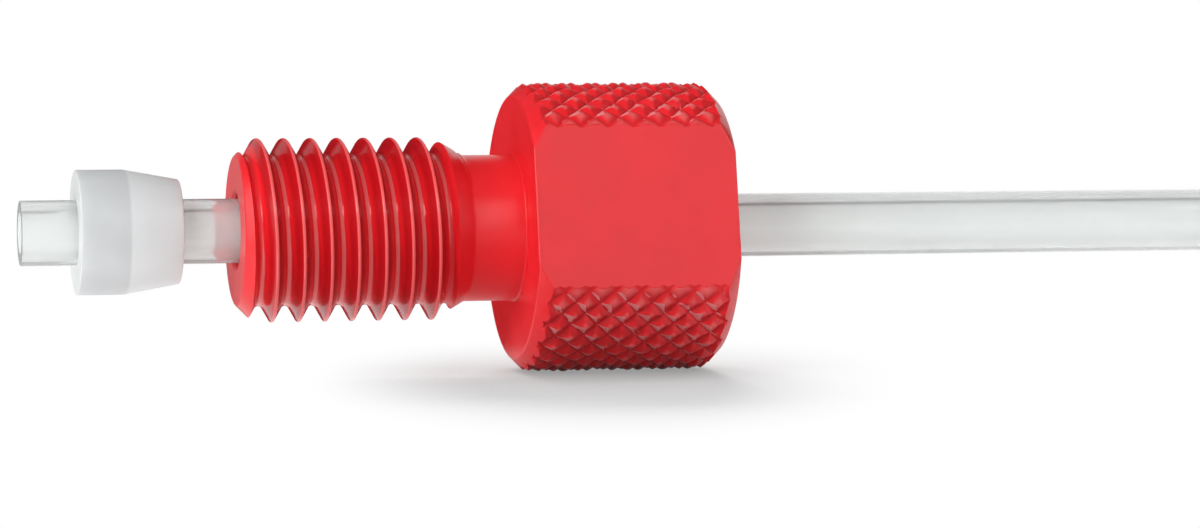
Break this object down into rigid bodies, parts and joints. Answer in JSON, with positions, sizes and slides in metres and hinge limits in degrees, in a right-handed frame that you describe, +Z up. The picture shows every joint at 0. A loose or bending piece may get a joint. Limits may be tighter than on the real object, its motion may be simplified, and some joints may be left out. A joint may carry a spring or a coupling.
{
  "type": "hplc fingertight fitting",
  "caption": "Finger-tight tube fitting: knurled hand nut with two wrench flats and an external thread, a tapered ferrule and a stub of stiff tube.",
  "frame": {"origin": "on the tube's axis, at the threaded end face of the nut", "axes": "+X along the tube from the threaded end to the knurled head, +Z up; the nut lies on the round underside of its head"},
  "size_m": [0.055, 0.009, 0.0098],
  "materials": {
    "red_polymer": "satin moulded and turned engineering plastic",
    "natural_polymer": "natural translucent fluoropolymer, smooth",
    "clear_tube": "clear, slightly milky extruded fluoropolymer"
  },
  "bodies": {
    "tube": {"tube": "clear_tube"},
    "nut": {"nut": "red_polymer"},
    "ferrule": {"ferrule": "natural_polymer"}
  },
  "joints": [
    {"name": "nut_spin", "type": "hinge", "parent": "tube", "child": "nut", "pos_m": [0, 0, 0], "axis": [1, 0, 0], "continuous": true},
    {"name": "ferrule_slide", "type": "slide", "parent": "tube", "child": "ferrule", "axis": [1, 0, 0], "range_m": [-0.0018, 0.0018]}
  ]
}
